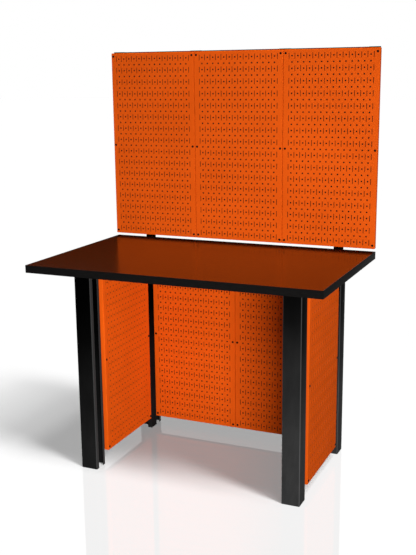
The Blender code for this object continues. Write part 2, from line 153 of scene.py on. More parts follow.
# Light from all round, and softboxes: share of full white that each gives to a surface that faces it,
# place, aim, width, height and spread in degrees
AMBIENT = 0.03
SOFTBOXES = {
    "key": (0.95, (2.85, -4.46314, 1.4), (-0.4, 0.3, 0.6), 1.9, 0.6, 100),
    "upper": (0.25, (0.6, -4.2, 3.2), (0.0, 0.34, 0.9), 1.5, 1.0, 36),
    "top": (0.75, (0.0, 0.42, 3.2), (0.0, 0.0, 0.9), 1.0, 0.08, 180),
    "rear": (0.9, (-3.6, 3.2, 0.9), (-0.2, 0.3, 0.9), 1.8, 0.6, 180),
    "knee": (0.25, (3.3, -4.2, 0.9), (-0.4, 0.05, 0.45), 1.5, 0.6, 180),
}

# Floor: its tone, how much of it scattered light finds, and the shares of its white from its own lamps
FLOOR_TONE = 0.15
FLOOR_BOUNCE = 0.25
FLOOR_SUNS = {"low": (0.2, (1.0, -0.37, 1.0)), "middle": (0.16, (0.75, -0.32, 1.0)),
              "high": (0.16, (0.5, -0.23, 1.0)), "steep": (0.18, (0.26, -0.22, 1.0))}
FLOOR_SUN_ANGLE = math.radians(11)
FLOOR_FILL_SHARE = 0.3
FLOOR_GLOSS = 0.12
FLOOR_POLISH = 0.025
FLOOR_HALF = 60.0
FLOOR_DROP = 0.2 * MM

# Black card that reflections in the worktop find behind the board
CARD_GAP = 0.02
CARD_LEFT = 1.0
CARD_RISE = 0.5
CARD_REACH = 1.6
CARD_TONE = 0.004

X_AXIS = Vector((1, 0, 0))
Y_AXIS = Vector((0, 1, 0))
Z_AXIS = Vector((0, 0, 1))


def material(name, **sockets):
    """Principled material; words in the socket names are joined by underscores."""
    made = bpy.data.materials.new(name)
    made.use_nodes = True
    shader = made.node_tree.nodes["Principled BSDF"]
    for socket, value in sockets.items():
        shader.inputs[socket.replace("_", " ")].default_value = value
    return made, made.node_tree, shader


def position(tree, stretch=(1, 1, 1)):
    """Place in the object's frame, squeezed along each axis by the given factors."""
    geometry = tree.nodes.new("ShaderNodeNewGeometry")
    scaled = tree.nodes.new("ShaderNodeMapping")
    scaled.inputs["Scale"].default_value = stretch
    tree.links.new(geometry.outputs["Position"], scaled.inputs["Vector"])
    return scaled.outputs["Vector"]


def noise(tree, place, scale, detail=4.0, roughness=0.55):
    made = tree.nodes.new("ShaderNodeTexNoise")
    made.inputs["Scale"].default_value = scale
    made.inputs["Detail"].default_value = detail
    made.inputs["Roughness"].default_value = roughness
    tree.links.new(place, made.inputs["Vector"])
    return made.outputs["Fac"]


def cells(tree, place, scale, output="Color"):
    made = tree.nodes.new("ShaderNodeTexVoronoi")
    made.inputs["Scale"].default_value = scale
    tree.links.new(place, made.inputs["Vector"])
    return made.outputs[output]


def ramp(tree, factor, stops):
    """Colour ramp through (place, colour) stops; a colour may be one grey number."""
    made = tree.nodes.new("ShaderNodeValToRGB")
    marks = made.color_ramp.elements
    while len(marks) < len(stops):
        marks.new(0.5)
    for mark, (place, color) in zip(marks, stops):
        mark.position = place
        mark.color = (*color, 1) if isinstance(color, tuple) else (color, color, color, 1)
    tree.links.new(factor, made.inputs["Fac"])
    return made.outputs["Color"]


def calculated(tree, operation, *terms):
    """Result of a math node; each term is a number or another node's output."""
    made = tree.nodes.new("ShaderNodeMath")
    made.operation = operation
    for socket, term in zip(made.inputs, terms):
        if isinstance(term, float):
            socket.default_value = term
        else:
            tree.links.new(term, socket)
    return made.outputs[0]


def split(tree, vector):
    """Outputs X, Y and Z of a vector."""
    made = tree.nodes.new("ShaderNodeSeparateXYZ")
    tree.links.new(vector, made.inputs["Vector"])
    return made.outputs


def outward(tree):
    """Outputs X, Y and Z of the surface's normal."""
    return split(tree, tree.nodes.new("ShaderNodeNewGeometry").outputs["Normal"])


def blended(tree, mode, factor, first, second):
    """Two colours mixed; the factor is a number or another node's output."""
    made = tree.nodes.new("ShaderNodeMix")
    made.data_type = 'RGBA'
    made.blend_type = mode
    if isinstance(factor, float):
        made.inputs["Factor"].default_value = factor
    else:
        tree.links.new(factor, made.inputs["Factor"])
    tree.links.new(first, made.inputs["A"])
    tree.links.new(second, made.inputs["B"])
    return made.outputs["Result"]


def bump(tree, shader, height, strength, depth):
    made = tree.nodes.new("ShaderNodeBump")
    made.inputs["Strength"].default_value = strength
    made.inputs["Distance"].default_value = depth
    tree.links.new(height, made.inputs["Height"])
    tree.links.new(made.outputs["Normal"], shader.inputs["Normal"])


def far_side(tree):
    """Share by which a face looks to the rear or to the left."""
    axes = outward(tree)
    leftward = calculated(tree, 'MULTIPLY', axes["X"], -1.0)
    most = calculated(tree, 'MAXIMUM', leftward, axes["Y"])
    return ramp(tree, most, [(0.55, 0.0), (0.95, 1.0)])


def powder_coat(name, dark, light, rough_low, rough_high, level):
    """Baked paint: slow drifts of tone, fine speckle and an orange peel skin."""
    made, tree, shader = material(name, Specular_IOR_Level=level)
    place = position(tree)
    drift = ramp(tree, noise(tree, place, 5.0, 5.0), [(0.3, dark), (0.7, light)])
    speckle = ramp(tree, noise(tree, place, 420.0, 2.0), [(0.35, 0.9), (0.65, 1.0)])
    tree.links.new(blended(tree, 'MULTIPLY', 0.6, drift, speckle), shader.inputs["Base Color"])
    sheen = ramp(tree, noise(tree, place, 16.0, 6.0), [(0.3, rough_low), (0.7, rough_high)])
    tree.links.new(sheen, shader.inputs["Roughness"])
    bump(tree, shader, noise(tree, place, 700.0, 3.0), 0.12, 0.0002)
    return made


def black_paint():
    """Black on the steel: painted reflection keeps it deep at the top and greyer below and to the right,
    painted shade dims it to the left and on right faces, faces that look to the rear or left take a plain
    even tone, streaky scuffs vary it, and the bends and lips get a painted highlight.
    """
    made, tree, shader = material("black_powder_coat", Specular_IOR_Level=0.001)
    place = position(tree)
    axes = split(tree, place)
    # Painted reflection: near black at the top, greyer low down and to the right
    reflection_shade_tone = ramp(tree, calculated(tree, 'MULTIPLY_ADD', axes["X"], -PAINTED_REFLECTION_SLOPE, axes["Z"]), PAINTED_REFLECTION_TONES)
    # Painted shade: the tone is dimmed towards the left end of the bench
    aside = tree.nodes.new("ShaderNodeMapRange")
    aside.inputs["From Min"].default_value = -PAINT_HALF_WIDTH
    aside.inputs["From Max"].default_value = PAINT_HALF_WIDTH
    tree.links.new(axes["X"], aside.inputs["Value"])
    across = ramp(tree, aside.outputs["Result"], [(0.0, PAINTED_SHADE_LEFT_SHARE), (1.0, 1.0)])
    reflection_shade_tone = blended(tree, 'MULTIPLY', 1.0, reflection_shade_tone, across)
    # Painted shade: faces that look to the right are darkened, more so higher up
    right_face_shade_mask = ramp(tree, outward(tree)["X"], [(0.2, 0.0), (0.9, 1.0)])
    reflection_shade_tone = blended(tree, 'MULTIPLY', right_face_shade_mask, reflection_shade_tone, ramp(tree, axes["Z"], PAINTED_SHADE_RIGHT_FACES))
    # Faces that look to the rear or left take this plain even tone in place of the painted reflection and
    # shade
    even = ramp(tree, noise(tree, place, 5.0, 5.0), PAINT_FAR_TONES)
    reflection_shade_tone = blended(tree, 'MIX', far_side(tree), reflection_shade_tone, even)
    streaks = noise(tree, position(tree, (1.0, 1.0, 0.3)), 34.0, 7.0, 0.65)
    scuffs = ramp(tree, streaks, [(0.3, 0.7), (0.75, 1.0)])
    painted = blended(tree, 'MULTIPLY', 1.0, reflection_shade_tone, scuffs)
    # Painted highlight: bends and open lips are lightened as if they caught the light
    bends = tree.nodes.new("ShaderNodeAttribute")
    bends.attribute_name = "bend"
    bend_highlight = ramp(tree, bends.outputs["Fac"], [(0.0, 0.0), (1.0, 0.04)])
    tree.links.new(blended(tree, 'ADD', 1.0, painted, bend_highlight), shader.inputs["Base Color"])
    sheen = ramp(tree, noise(tree, place, 16.0, 6.0), [(0.3, 0.3), (0.7, 0.4)])
    tree.links.new(sheen, shader.inputs["Roughness"])
    bump(tree, shader, noise(tree, place, 700.0, 3.0), 0.1, 0.0002)
    return made


def laminate():
    """Glossy pressed laminate: even dark brown with a faint fleck and fine wiping marks."""
    made, tree, shader = material("glossy_laminate", Specular_IOR_Level=0.2)
    place = position(tree)
    browns = [(0.3, (0.07, 0.012, 0.0018)), (0.7, (0.082, 0.014, 0.002))]
    drift = ramp(tree, noise(tree, place, 3.0, 4.0), browns)
    fleck = ramp(tree, noise(tree, place, 900.0, 2.0), [(0.4, 0.82), (0.6, 1.0)])
    tree.links.new(blended(tree, 'MULTIPLY', 0.7, drift, fleck), shader.inputs["Base Color"])
    wiped = noise(tree, position(tree, (1.0, 14.0, 1.0)), 30.0, 6.0)
    tree.links.new(ramp(tree, wiped, [(0.3, 0.18), (0.75, 0.23)]), shader.inputs["Roughness"])
    bump(tree, shader, noise(tree, place, 160.0, 2.0), 0.02, 0.0002)
    return made


def edge_band():
    """Satin plastic band with a faint grain along its length."""
    made, tree, shader = material("satin_edge_band", Specular_IOR_Level=0.002)
    grain = noise(tree, position(tree, (1.0, 1.0, 22.0)), 40.0, 5.0)
    tone = ramp(tree, grain, [(0.3, (0.004, 0.0038, 0.0037)), (0.7, (0.009, 0.0084, 0.0082))])
    tree.links.new(tone, shader.inputs["Base Color"])
    tree.links.new(ramp(tree, grain, [(0.3, 0.34), (0.7, 0.44)]), shader.inputs["Roughness"])
    bump(tree, shader, grain, 0.08, 0.0002)
    return made


def particle_board():
    """Raw board: pressed chips of many browns."""
    made, tree, shader = material("raw_particle_board", Roughness=0.82)
    place = position(tree, (1.0, 1.6, 1.0))
    chips = ramp(tree, cells(tree, place, 260.0), [(0.1, (0.3, 0.19, 0.095)), (0.5, (0.5, 0.36, 0.2)),
                                                   (0.9, (0.62, 0.47, 0.29))])
    dust = ramp(tree, noise(tree, place, 60.0, 6.0), [(0.3, 0.75), (0.7, 1.0)])
    tree.links.new(blended(tree, 'MULTIPLY', 0.8, chips, dust), shader.inputs["Base Color"])
    bump(tree, shader, cells(tree, place, 260.0, "Distance"), 0.35, 0.0005)
    return made


def hole_shade_backing():
    """Dark pressed fibre behind the panels, put there as painted shade so the peg holes read dark; its faces
    that look to the rear or left take a lighter tone.
    """
    made, tree, shader = material("dark_fibre_sheet", Specular_IOR_Level=0.15)
    fibres = noise(tree, position(tree, (1.0, 1.0, 0.35)), 320.0, 6.0)
    near = ramp(tree, fibres, [(0.3, (0.006, 0.0035, 0.002)), (0.7, (0.016, 0.008, 0.004))])
    rear_left_tone = ramp(tree, fibres, [(0.3, (0.024, 0.018, 0.014)), (0.7, (0.042, 0.032, 0.025))])
    # Painted shade: faces towards the panels are near black, faces to the rear or left lighter
    tree.links.new(blended(tree, 'MIX', far_side(tree), near, rear_left_tone), shader.inputs["Base Color"])
    tree.links.new(ramp(tree, fibres, [(0.3, 0.68), (0.7, 0.85)]), shader.inputs["Roughness"])
    bump(tree, shader, fibres, 0.3, 0.0003)
    return made


def zinc():
    """Zinc plate: bright metal with clouded patches and fine scratches."""
    made, tree, shader = material("zinc_plate", Metallic=1.0)
    place = position(tree)
    cloud = noise(tree, place, 220.0, 5.0)
    tree.links.new(ramp(tree, cloud, [(0.3, (0.42, 0.42, 0.43)), (0.7, (0.66, 0.66, 0.63))]),
                   shader.inputs["Base Color"])
    tree.links.new(ramp(tree, cloud, [(0.3, 0.42), (0.7, 0.26)]), shader.inputs["Roughness"])
    bump(tree, shader, noise(tree, place, 2600.0, 2.0), 0.1, 0.0001)
    return made


def moulded_plastic():
    """Plain black plug plastic with a fine texture from its mould."""
    made, tree, shader = material("moulded_plastic", Specular_IOR_Level=0.25)
    place = position(tree)
    tree.links.new(ramp(tree, noise(tree, place, 90.0, 4.0), [(0.3, 0.006), (0.7, 0.012)]),
                   shader.inputs["Base Color"])
    tree.links.new(ramp(tree, noise(tree, place, 300.0, 3.0), [(0.3, 0.48), (0.7, 0.62)]),
                   shader.inputs["Roughness"])
    bump(tree, shader, noise(tree, place, 1500.0, 2.0), 0.25, 0.0001)
    return made


ORANGE = powder_coat("orange_powder_coat", (0.72, 0.091, 0.0054), (0.79, 0.102, 0.0062), 0.45, 0.55, 0.001)
BLACK = black_paint()
FINISHES = {"orange": ORANGE, "black": BLACK, "laminate": laminate(), "edge": edge_band(),
            "core": particle_board(), "backing": hole_shade_backing(), "bolts": zinc(), "plugs": moulded_plastic()}
BLACK_SCREWS = powder_coat("black_screw_finish", (0.003, 0.0025, 0.002), (0.007, 0.006, 0.005),
                           0.3, 0.42, 0.03)


def finish_nodes():
    """Gives every solid the finish of its record's slot."""
    for part in frame["record"]["subparts"]:
        for place in NODES[part["node"]].material_slots:
            place.material = FINISHES[part["material_slot"]]


def piece(name, mesh, look, place=None, stands_for=()):
    made = bpy.data.objects.new(name, mesh)
    bpy.context.scene.collection.objects.link(made)
    if not mesh.materials:
        mesh.materials.append(look)
    made.matrix_world = place or Matrix.Identity(4)
    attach(made, "root")
    if stands_for:
        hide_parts(*stands_for)
    return made


def mesh_from(bm, name, crease=40):
    """Mesh with smooth shading across every edge that bends less than the crease angle."""
    bmesh.ops.remove_doubles(bm, verts=bm.verts, dist=0.01 * MM)
    bmesh.ops.recalc_face_normals(bm, faces=bm.faces)
    mesh = bpy.data.meshes.new(name)
    bm.to_mesh(mesh)
    bm.free()
    mesh.shade_smooth()
    mesh.set_sharp_from_angle(angle=math.radians(crease))
    return mesh


def facing(point, normal):
    """Placement whose local Z runs along the normal, starting at the point."""
    turn = normal.to_track_quat('Z', 'Y').to_matrix().to_4x4()
    return Matrix.Translation(point) @ turn


def rounded_rectangle(half_x, half_y, radius, steps):
    """Corner arcs of a rectangle, walked anticlockwise, with the same count of points at any radius."""
    points = []
    for turn, (sx, sy) in enumerate(((1, 1), (-1, 1), (-1, -1), (1, -1))):
        for k in range(steps + 1):
            angle = math.pi / 2 * (turn + k / steps)
            points.append((sx * (half_x - radius) + radius * math.cos(angle),
                           sy * (half_y - radius) + radius * math.sin(angle)))
    return points


def skin(bm, loops, closed=False):
    """Quads between loops of vertices that have the same count."""
    pairs = list(zip(loops, loops[1:]))
    if closed:
        pairs.append((loops[-1], loops[0]))
    for first, second in pairs:
        count = len(first)
        for i in range(count):
            j = (i + 1) % count
            bm.faces.new((first[i], first[j], second[j], second[i]))


def arc(centre_x, centre_z, radius_x, radius_z, start, end, steps):
    """Points of an ellipse from one angle to another, in degrees."""
    found = []
    for k in range(steps + 1):
        angle = math.radians(start + (end - start) * k / steps)
        found.append((centre_x + radius_x * math.cos(angle), centre_z + radius_z * math.sin(angle)))
    return found


def round_hole(x, z, radius):
    """Left and right halves of a round hole, both walked from its top to its bottom."""
    return arc(x, z, radius, radius, 90, 270, 6), arc(x, z, radius, radius, 90, -90, 6)


def slot_hole(x, z):
    """Left and right halves of an upright slot with round ends."""
    rise = SLOT_HALF_HEIGHT - SLOT_HALF_WIDTH
    half = SLOT_HALF_WIDTH
    left = arc(x, z + rise, half, half, 90, 180, 3) + arc(x, z - rise, half, half, 180, 270, 3)
    right = arc(x, z + rise, half, half, 90, 0, 3) + arc(x, z - rise, half, half, 0, -90, 3)
    return left, right


class Face:
    """Flat sheet with holes: each polygon is laid on the front and on the back, and each hole gets a wall."""

    def __init__(self, bm):
        self.bm = bm
        self.made = {}

    def vert(self, x, y, z):
        key = (round(x * 1e7), round(y * 1e7), round(z * 1e7))
        if key not in self.made:
            self.made[key] = self.bm.verts.new((x, y, z))
        return self.made[key]

    def polygon(self, points):
        self.bm.faces.new([self.vert(x, 0, z) for x, z in points])
        self.bm.faces.new([self.vert(x, PANEL_SHEET, z) for x, z in reversed(points)])

    def wall(self, points):
        for (x0, z0), (x1, z1) in zip(points, points[1:]):
            self.bm.faces.new((self.vert(x0, 0, z0), self.vert(x1, 0, z1),
                               self.vert(x1, PANEL_SHEET, z1), self.vert(x0, PANEL_SHEET, z0)))

    def cell(self, low, high, hole, left_marks, right_marks):
        """Rectangle round one hole, as two polygons that meet above and below it."""
        (x0, z0), (x1, z1) = low, high
        left, right = hole
        middle = left[0][0]
        rising = [(x0, z) for z in left_marks if z0 < z < z1]
        falling = [(x1, z) for z in right_marks if z0 < z < z1]
        self.polygon([(middle, z0), (x0, z0), *rising, (x0, z1), (middle, z1), *left])
        self.polygon([(middle, z0), (x1, z0), *falling, (x1, z1), (middle, z1), *right])
        self.wall(left)
        self.wall(right)


def panel_size():
    low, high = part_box("board_panel_1")
    return high - low


def perforated_face(bm, half, low_z, high_z, screw_x, screw_heights):
    """Face of a panel between its bends, with pegs, slots and screw holes."""
    sheet = Face(bm)
    column = PEG_PITCH / 2
    edge_x = (PEG_COLUMNS + 0.5) * column
    inner = half - FACE_MARGIN
    bottom, top = low_z + FACE_MARGIN, high_z - FACE_MARGIN
    row_marks = [PEG_PITCH * (j + 0.5) for j in range(PEG_ROWS + 1)]
    slot_marks = [2 * PEG_PITCH * (j + 1) for j in range(PEG_ROWS // 2)]
    marks = sorted([bottom, top, *row_marks, *slot_marks])
    floor_points = []
    for k in range(2 * PEG_COLUMNS + 1):
        x0 = -edge_x + k * column
        x1 = x0 + column
        middle = (x0 + x1) / 2
        floor_points.append(x0)
        if k % 2:
            bands = [bottom, *row_marks, top]
            for j in range(PEG_ROWS):
                hole = round_hole(middle, PEG_PITCH * (j + 1), PEG_RADIUS)
                sheet.cell((x0, row_marks[j]), (x1, row_marks[j + 1]), hole, marks, marks)
            sheet.polygon([(x0, bottom), (x1, bottom), (x1, bands[1]), (middle, bands[1]), (x0, bands[1])])
            sheet.polygon([(x0, top), (x1, top), (x1, bands[-2]), (middle, bands[-2]), (x0, bands[-2])])
        else:
            bands = [bottom, *slot_marks, top]
            for j, (z0, z1) in enumerate(zip(bands, bands[1:])):
                sheet.cell((x0, z0), (x1, z1), slot_hole(middle, PEG_PITCH * (2 * j + 1)), marks, marks)
            floor_points.append(middle)
    floor_points.append(edge_x)
    between = [(lower + upper) / 2 for lower, upper in zip(screw_heights, screw_heights[1:])]
    thirds = [bottom, *between, top]
    for z, z0, z1 in zip(screw_heights, thirds, thirds[1:]):
        sheet.cell((-inner, z0), (-edge_x, z1), round_hole(-screw_x, z, SCREW_HOLE), thirds, marks)
        sheet.cell((edge_x, z0), (inner, z1), round_hole(screw_x, z, SCREW_HOLE), marks, thirds)
    run = [-inner, -screw_x, *floor_points, screw_x, inner]
    sheet.polygon([(-half, low_z), (half, low_z), *[(x, bottom) for x in reversed(run)]])
    sheet.polygon([(-half, high_z), (half, high_z), *[(x, top) for x in reversed(run)]])
    sheet.polygon([(-half, low_z), (-half, high_z), *[(-inner, z) for z in reversed(thirds)]])
    sheet.polygon([(half, low_z), (half, high_z), *[(inner, z) for z in reversed(thirds)]])


def panel_mesh():
    """Perforated tray: face in the local XZ plane looking along -Y, bends and flanges running to +Y."""
    size = panel_size()
    bm = bmesh.new()
    half_x, half_z = size.x / 2, size.z / 2
    heights = (SCREW_END, half_z, size.z - SCREW_END)
    perforated_face(bm, half_x - PANEL_BEND, PANEL_BEND, size.z - PANEL_BEND, half_x - SCREW_EDGE, heights)
    skins = []
    for depth in (0, PANEL_SHEET):
        radius = PANEL_BEND - depth
        loops = []
        for k in range(6):
            angle = math.radians(90) * k / 5
            inset = PANEL_BEND - radius * math.sin(angle)
            outline = rounded_rectangle(half_x - inset, half_z - inset, radius * math.sin(angle), 4)
            y = depth + radius * (1 - math.cos(angle))
            loops.append([bm.verts.new((x, y, half_z + z)) for x, z in outline])
        outline = rounded_rectangle(half_x - depth, half_z - depth, radius, 4)
        loops.append([bm.verts.new((x, size.y, half_z + z)) for x, z in outline])
        skin(bm, loops)
        skins.append(loops)
    skin(bm, [skins[0][-1], skins[1][-1]])
    return mesh_from(bm, "perforated_panel")


def lathe(bm, place, profile, steps):
    """Solid of revolution about local Z from (radius, height) points, closed at both ends."""
    loops = []
    for radius, height in profile:
        ring = []
        for k in range(steps):
            angle = 2 * math.pi * k / steps
            spot = Vector((radius * math.cos(angle), radius * math.sin(angle), height))
            ring.append(bm.verts.new(place @ spot))
        loops.append(ring)
    skin(bm, loops)
    bm.faces.new(loops[0])
    bm.faces.new(loops[-1])


def threaded(radius, start, end, pitch):
    """Profile of a thread that runs down from one height to another and ends in a point."""
    count = max(2, int((start - end) / pitch))
    points = [(radius, start)]
    for k in range(count):
        z = start - pitch * k
        for share, drop in ((0.8, 0.15), (1.0, 0.5), (0.8, 0.85)):
            points.append((radius * share, z - drop * pitch))
    points.append((radius * 0.25, end))
    return points


def hexagon(bm, place, radius, low, high):
    """Six sided block with its outer end turned down to a circle."""
    flat = radius * math.cos(math.radians(30))
    cut = 0.14 * radius
    levels = ((low, low, None), (high - cut, high - 0.02 * radius, None), (high, high, flat * 0.95))
    rings = []
    for corner_z, flat_z, rim in levels:
        ring = []
        for k in range(12):
            angle = math.radians(30 * k)
            reach = rim or (flat if k % 2 else radius)
            z = flat_z if k % 2 else corner_z
            spot = Vector((reach * math.cos(angle), reach * math.sin(angle), z))
            ring.append(bm.verts.new(place @ spot))
        rings.append(ring)
    skin(bm, rings)
    bm.faces.new(rings[0])
    bm.faces.new(rings[-1])


def hex_bolt(bm, place, scale=1.0, nut=None):
    """Flanged hexagon bolt, bearing face at local height zero; nut is the height of a nut's bearing face."""
    head, rise, shank = BOLT_HEAD * scale, BOLT_RISE * scale, BOLT_SHANK * scale
    rim = 1.22 * head
    flange = [(rim, 0), (rim, 0.1 * rise), (0.95 * head, 0.32 * rise), (0.5 * head, 0.32 * rise)]
    lathe(bm, place, flange, 24)
    hexagon(bm, place, 0.97 * head, 0.2 * rise, rise)
    neck = (shank, 0.1 * rise)
    if nut is None:
        lathe(bm, place, [neck, *threaded(shank, -0.4 * BOLT_LENGTH, -BOLT_LENGTH, BOLT_PITCH)], 14)
        return
    lathe(bm, place, [neck, (shank, nut), *threaded(shank, nut, nut - BOLT_TAIL, BOLT_PITCH)], 14)
    turned = place @ Matrix.Translation((0, 0, nut)) @ Matrix.Rotation(math.pi, 4, 'X')
    hexagon(bm, turned, 0.97 * head, 0, NUT_RISE * scale)


def pan_screw_mesh():
    """Pan head with a cross recess, bearing face at height zero, threaded shank below."""
    bm = bmesh.new()
    dome = ((1.0, 0), (1.0, 0.3), (0.93, 0.62), (0.76, 0.86), (0.5, 0.97), (0.1, 1.0))
    profile = [(SCREW_SHANK, 0), *((out * SCREW_HEAD, up * SCREW_RISE) for out, up in dome)]
    lathe(bm, Matrix.Identity(4), profile, 24)
    head = bpy.data.objects.new("screw_head", mesh_from(bm, "screw_head"))
    bm = bmesh.new()
    for turn in (0, 90):
        wing = bmesh.ops.create_cube(bm, size=1)
        size = Matrix.Diagonal((0.95 * SCREW_HEAD, 0.24 * SCREW_HEAD, 1.5 * SCREW_RISE, 1))
        lift = Matrix.Translation((0, 0, 1.25 * SCREW_RISE))
        spin = Matrix.Rotation(math.radians(turn), 4, 'Z')
        bmesh.ops.transform(bm, matrix=spin @ lift @ size, verts=wing["verts"])
    cross = bpy.data.objects.new("screw_recess", mesh_from(bm, "screw_recess"))
    for made in (head, cross):
        bpy.context.scene.collection.objects.link(made)
    cut = head.modifiers.new("recess", 'BOOLEAN')
    cut.object = cross
    cut.solver = 'EXACT'
    cut.use_self = True
    shaped = bpy.data.meshes.new_from_object(head.evaluated_get(bpy.context.evaluated_depsgraph_get()))
    bm = bmesh.new()
    bm.from_mesh(shaped)
    profile = [(SCREW_SHANK, 0.2 * SCREW_RISE), (SCREW_SHANK, -SCREW_PLAIN),
               *threaded(SCREW_SHANK, -SCREW_PLAIN, -SCREW_LENGTH, SCREW_PITCH)]
    lathe(bm, Matrix.Identity(4), profile, 14)
    for made in (head, cross):
        bpy.data.objects.remove(made)
    return mesh_from(bm, "pan_screw")


def copies(mesh, places):
    """One bmesh with a copy of the mesh at every place."""
    bm = bmesh.new()
    for place in places:
        start = len(bm.verts)
        bm.from_mesh(mesh)
        bm.verts.ensure_lookup_table()
        bmesh.ops.transform(bm, matrix=place, verts=bm.verts[start:])
    return bm


def panel_place(name):
    """Placement of a panel's local frame, from the box of its solid."""
    low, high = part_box(name)
    middle = (low + high) / 2
    if name.startswith("side"):
        return Matrix.Translation((high.x, middle.y, low.z)) @ Matrix.Rotation(math.radians(90), 4, 'Z')
    return Matrix.Translation((middle.x, low.y, low.z))


def build_panels():
    size = panel_size()
    tray = panel_mesh()
    screw = pan_screw_mesh()
    spots = [facing(Vector((side * (size.x / 2 - SCREW_EDGE), -SEAT, z)), -Y_AXIS)
             for side in (-1, 1) for z in (SCREW_END, size.z / 2, size.z - SCREW_END)]
    for name in sorted(n for n in NODES if "_panel_" in n):
        place = panel_place(name)
        piece(f"{name}_perforated", tray, ORANGE, place, [name])
        turned = [place @ spot @ Matrix.Rotation(SCREW_TURN * i, 4, 'Z') for i, spot in enumerate(spots)]
        screws = mesh_from(copies(screw, turned), f"{name}_screws")
        piece(f"{name}_screws", screws, BLACK_SCREWS)


def rounded_path(points, radius, steps):
    """Polyline with an arc at every inner corner."""
    path = [Vector(points[0])]
    for before, corner, after in zip(points, points[1:], points[2:]):
        here = Vector(corner)
        back = (Vector(before) - here).normalized()
        ahead = (Vector(after) - here).normalized()
        centre = here + (back + ahead) * radius
        for k in range(steps + 1):
            angle = math.pi / 2 * k / steps
            path.append(centre - ahead * radius * math.cos(angle) - back * radius * math.sin(angle))
    path.append(Vector(points[-1]))
    return path


def channel_mesh(name, width, depth, length, hand):
    """Lipped channel open towards -hand, with round bends, standing on its local origin."""
    bm = bmesh.new()
    skins = []
    for inset in (0, LEG_SHEET):
        outline = [(inset, LEG_LIP), (inset, inset), (width - inset, inset), (width - inset, depth - inset),
                   (inset, depth - inset), (inset, depth - LEG_LIP)]
        path = rounded_path(outline, LEG_BEND - inset, 6)
        skins.append([(p.x if hand > 0 else width - p.x, p.y) for p in path])
    outline = skins[0] + skins[1][::-1]
    ends = [[bm.verts.new((x, y, z)) for x, y in outline] for z in (0, length)]
    skin(bm, ends)
    count = len(outline)
    for end in ends:
        for i in range(count // 2 - 1):
            bm.faces.new((end[i], end[i + 1], end[count - 2 - i], end[count - 1 - i]))
    # Bends and open lips are marked for the black paint's painted highlight
    bend_highlight = bm.faces.layers.float.new("bend")
    open_side = 0 if hand > 0 else width
    bm.normal_update()
    for face in bm.faces:
        lip = all(abs(vert.co.x - open_side) < SEAT for vert in face.verts)
        face[bend_highlight] = 1.0 if lip or max(map(abs, face.normal)) < 0.99 else 0.0
    return mesh_from(bm, name)


def build_legs():
    for name in sorted(n for n in NODES if n.startswith("leg_") and "bracket" not in n):
        low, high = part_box(name)
        size = high - low
        hand = 1 if low.x > 0 else -1
        mesh = channel_mesh(name, size.x, size.y, size.z, hand)
        piece(f"{name}_channel", mesh, BLACK, Matrix.Translation(low), [name])


def build_edge_band():
    """Band with rounded arrises, swept round the worktop."""
    low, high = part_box("worktop_edge_band")
    middle = (low + high) / 2
    half = (high - low) / 2
    outline = [(BAND_THICK, low.z)]
    for start, z in ((0, low.z + BAND_ARRIS), (90, high.z - BAND_ARRIS)):
        for k in range(5):
            angle = math.radians(start + 90 * k / 4)
            outline.append((BAND_ARRIS * (1 - math.sin(angle)), z - BAND_ARRIS * math.cos(angle)))
    outline.append((BAND_THICK, high.z))
    bm = bmesh.new()
    loops = []
    for inset, z in outline:
        path = rounded_rectangle(half.x - inset, half.y - inset, BAND_CORNER - inset, 6)
        loops.append([bm.verts.new((middle.x + x, middle.y + y, z)) for x, y in path])
    skin(bm, loops, closed=True)
    mesh = mesh_from(bm, "worktop_edge")
    piece("worktop_edge_rounded", mesh, FINISHES["edge"], None, ["worktop_edge_band"])


def cleat_bolts():
    """Bolts through the side cleats' feet and the legs' flanges, and through the back cleats and lips."""
    bm = bmesh.new()
    through = -(CLEAT_SHEET + SEAT + LEG_SHEET + 2 * SEAT)
    for name in sorted(n for n in NODES if "_cleat_" in n):
        low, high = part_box(name)
        for z in (low.z + CLEAT_BOLT_END, high.z - CLEAT_BOLT_END):
            if name.startswith("back"):
                hand = 1 if low.x > 0 else -1
                x = (high.x if hand > 0 else low.x) - hand * (CLEAT_SHEET + SEAT)
                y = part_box("leg_rear_left")[1].y - LEG_BEND - (LEG_LIP - LEG_BEND) / 2
                hex_bolt(bm, facing(Vector((x, y, z)), -hand * X_AXIS), SMALL_BOLT, through)
                continue
            run = 1 if "_front_" in name else -1
            foot = low.y if run > 0 else high.y
            spot = Vector((high.x - CLEAT_BOLT_FOOT, foot + run * (CLEAT_SHEET + SEAT), z))
            hex_bolt(bm, facing(spot, run * Y_AXIS), 1.0, through)
    piece("cleat_bolts", mesh_from(bm, "cleat_bolts"), FINISHES["bolts"])


def rail_bolts():
    """Bolts through the webs of the rails into what they cross."""
    bm = bmesh.new()
    uprights = ("post_left", "post_right", "board_stile_2", "board_stile_3")
    columns = {"board": [sum(corner.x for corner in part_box(n)) / 2 for n in uprights]}
    columns["board"] += [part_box("board_stile_1")[1].x - EDGE_STILE_FOOT / 2,
                         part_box("board_stile_4")[0].x + EDGE_STILE_FOOT / 2]
    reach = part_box("back_cleat_right")[1].x - CLEAT_RAIL_BOLT
    columns["back"] = [-reach, -STRIP_BOLT_SIDE, STRIP_BOLT_SIDE, reach]
    for name in sorted(n for n in NODES if "_rail_" in n):
        low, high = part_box(name)
        for x in columns[name.split("_")[0]]:
            spot = Vector((x, low.y + RAIL_SHEET + SEAT, (low.z + high.z) / 2))
            hex_bolt(bm, facing(spot, Y_AXIS))
    piece("rail_bolts", mesh_from(bm, "rail_bolts"), FINISHES["bolts"])


